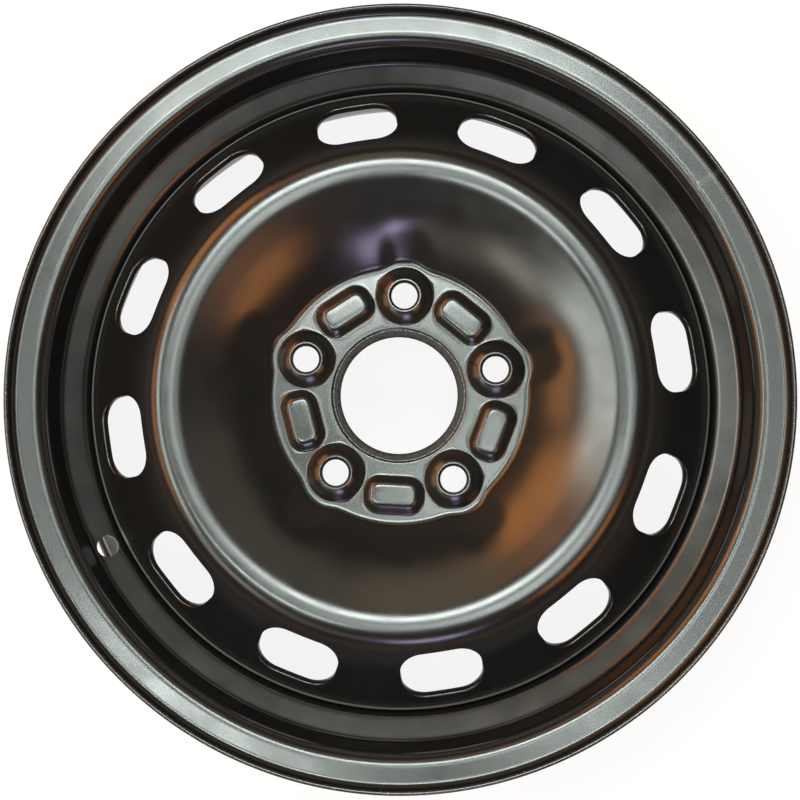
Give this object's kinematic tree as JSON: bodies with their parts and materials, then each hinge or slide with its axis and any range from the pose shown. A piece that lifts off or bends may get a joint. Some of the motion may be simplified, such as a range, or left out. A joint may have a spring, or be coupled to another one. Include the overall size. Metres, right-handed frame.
{
  "type": "steel wheel rim",
  "caption": "Pressed-steel road wheel: a drop-centre rim with a dished, vented disc welded into its well, bored and drilled to bolt to a vehicle hub.",
  "frame": {"origin": "on the wheel's axis, at the face of the disc that bears on the hub", "axes": "+Z along the wheel's axis, out of the outboard face; +X to the right in the picture's view"},
  "size_m": [0.4152, 0.415, 0.1744],
  "materials": {
    "black_coat": "satin black dip coat with a fine orange peel",
    "weld_coat": "satin black dip coat over rippled weld"
  },
  "bodies": {
    "root": {"rim": "black_coat", "disc": "black_coat", "weld_beads": "weld_coat"}
  },
  "joints": []
}
